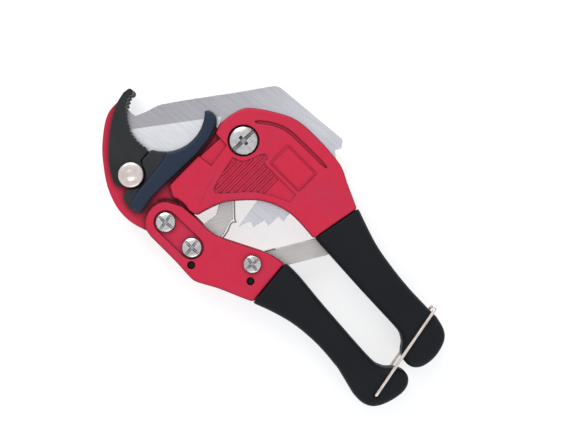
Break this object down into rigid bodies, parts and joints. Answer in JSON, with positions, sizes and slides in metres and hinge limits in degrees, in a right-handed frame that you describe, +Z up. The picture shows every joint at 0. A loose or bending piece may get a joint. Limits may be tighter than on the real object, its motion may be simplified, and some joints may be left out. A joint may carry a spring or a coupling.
{
  "type": "pvc pipe cutter",
  "caption": "Ratchet pipe cutter with a hooked serrated jaw, a broad pivoted blade, a hinged lower handle, vinyl grips and a wire locking bail.",
  "frame": {"origin": "on the blade pivot's axis, at the outer face of its back nut, which is in the plane that the tool lies on", "axes": "+X from the jaw to the ends of the grips, +Y from the lower handle towards the blade's back, +Z up through the thickness, out of the front face"},
  "size_m": [0.2047, 0.1049, 0.0219],
  "materials": {
    "red_enamel": "semi-gloss enamel on a die casting",
    "black_casting": "satin black coating",
    "grip_vinyl": "moulded vinyl, slightly glossy",
    "ground_steel": "ground along the blade",
    "stamped_steel": "stamped, dull",
    "nickel_plate": "bright nickel plate",
    "rivet_steel": "turned, warm",
    "spring_wire": "drawn wire"
  },
  "bodies": {
    "frame": {"frame_casting": "red_enamel", "hook_jaw_front": "black_casting", "hook_jaw_back": "black_casting", "pipe_cradle_front": "black_casting", "pipe_cradle_back": "black_casting", "jaw_rivet": "rivet_steel", "blade_pivot_bolt": "nickel_plate", "blade_pivot_nut": "nickel_plate", "pivot_spring_washer": "spring_wire", "blade_bush": "stamped_steel", "upper_grip": "grip_vinyl", "link_guide_pin": "spring_wire"},
    "blade": {"blade": "ground_steel"},
    "lower_handle": {"lower_handle_casting": "red_enamel", "lower_grip": "grip_vinyl", "handle_pivot_screw": "nickel_plate", "handle_pivot_nut": "nickel_plate", "pawl_pivot_screw": "nickel_plate", "pawl_pivot_nut": "nickel_plate", "link_pivot_screw": "nickel_plate", "link_pivot_nut": "nickel_plate", "link_spacer_front": "stamped_steel", "link_spacer_back": "stamped_steel", "pawl_stop_pin": "black_casting", "link_stop_pin": "black_casting", "opening_spring": "spring_wire"},
    "pawl": {"drive_pawl": "stamped_steel", "pawl_spring": "spring_wire"},
    "link": {"opening_link": "stamped_steel"},
    "bail": {"wire_bail": "spring_wire"}
  },
  "joints": [
    {"name": "blade_swing", "type": "hinge", "parent": "frame", "child": "blade", "pos_m": [0, 0, 0.011], "axis": [0, 0, 1], "range_deg": [-58, 0]},
    {"name": "handle_open", "type": "hinge", "parent": "frame", "child": "lower_handle", "pos_m": [0.0013, -0.0563, 0.011], "axis": [0, 0, 1], "range_deg": [-18, 0]},
    {"name": "pawl_swing", "type": "hinge", "parent": "lower_handle", "child": "pawl", "pos_m": [0.0195, -0.056, 0.011], "axis": [0, 0, 1], "range_deg": [0, 18]},
    {"name": "link_swing", "type": "hinge", "parent": "lower_handle", "child": "link", "pos_m": [0.0467, -0.0405, 0.011], "axis": [0, 0, 1], "range_deg": [0, 28.5]},
    {"name": "bail_swing", "type": "hinge", "parent": "lower_handle", "child": "bail", "pos_m": [0.1365, -0.0432, 0.011], "axis": [0, 0, 1], "range_deg": [-180, 0]}
  ],
  "couplings": [
    {"joint": "pawl_swing", "follows": "handle_open", "ratio": -1},
    {"joint": "link_swing", "follows": "handle_open", "ratio": -1.583},
    {"joint": "bail_swing", "follows": "handle_open", "ratio": 10}
  ]
}
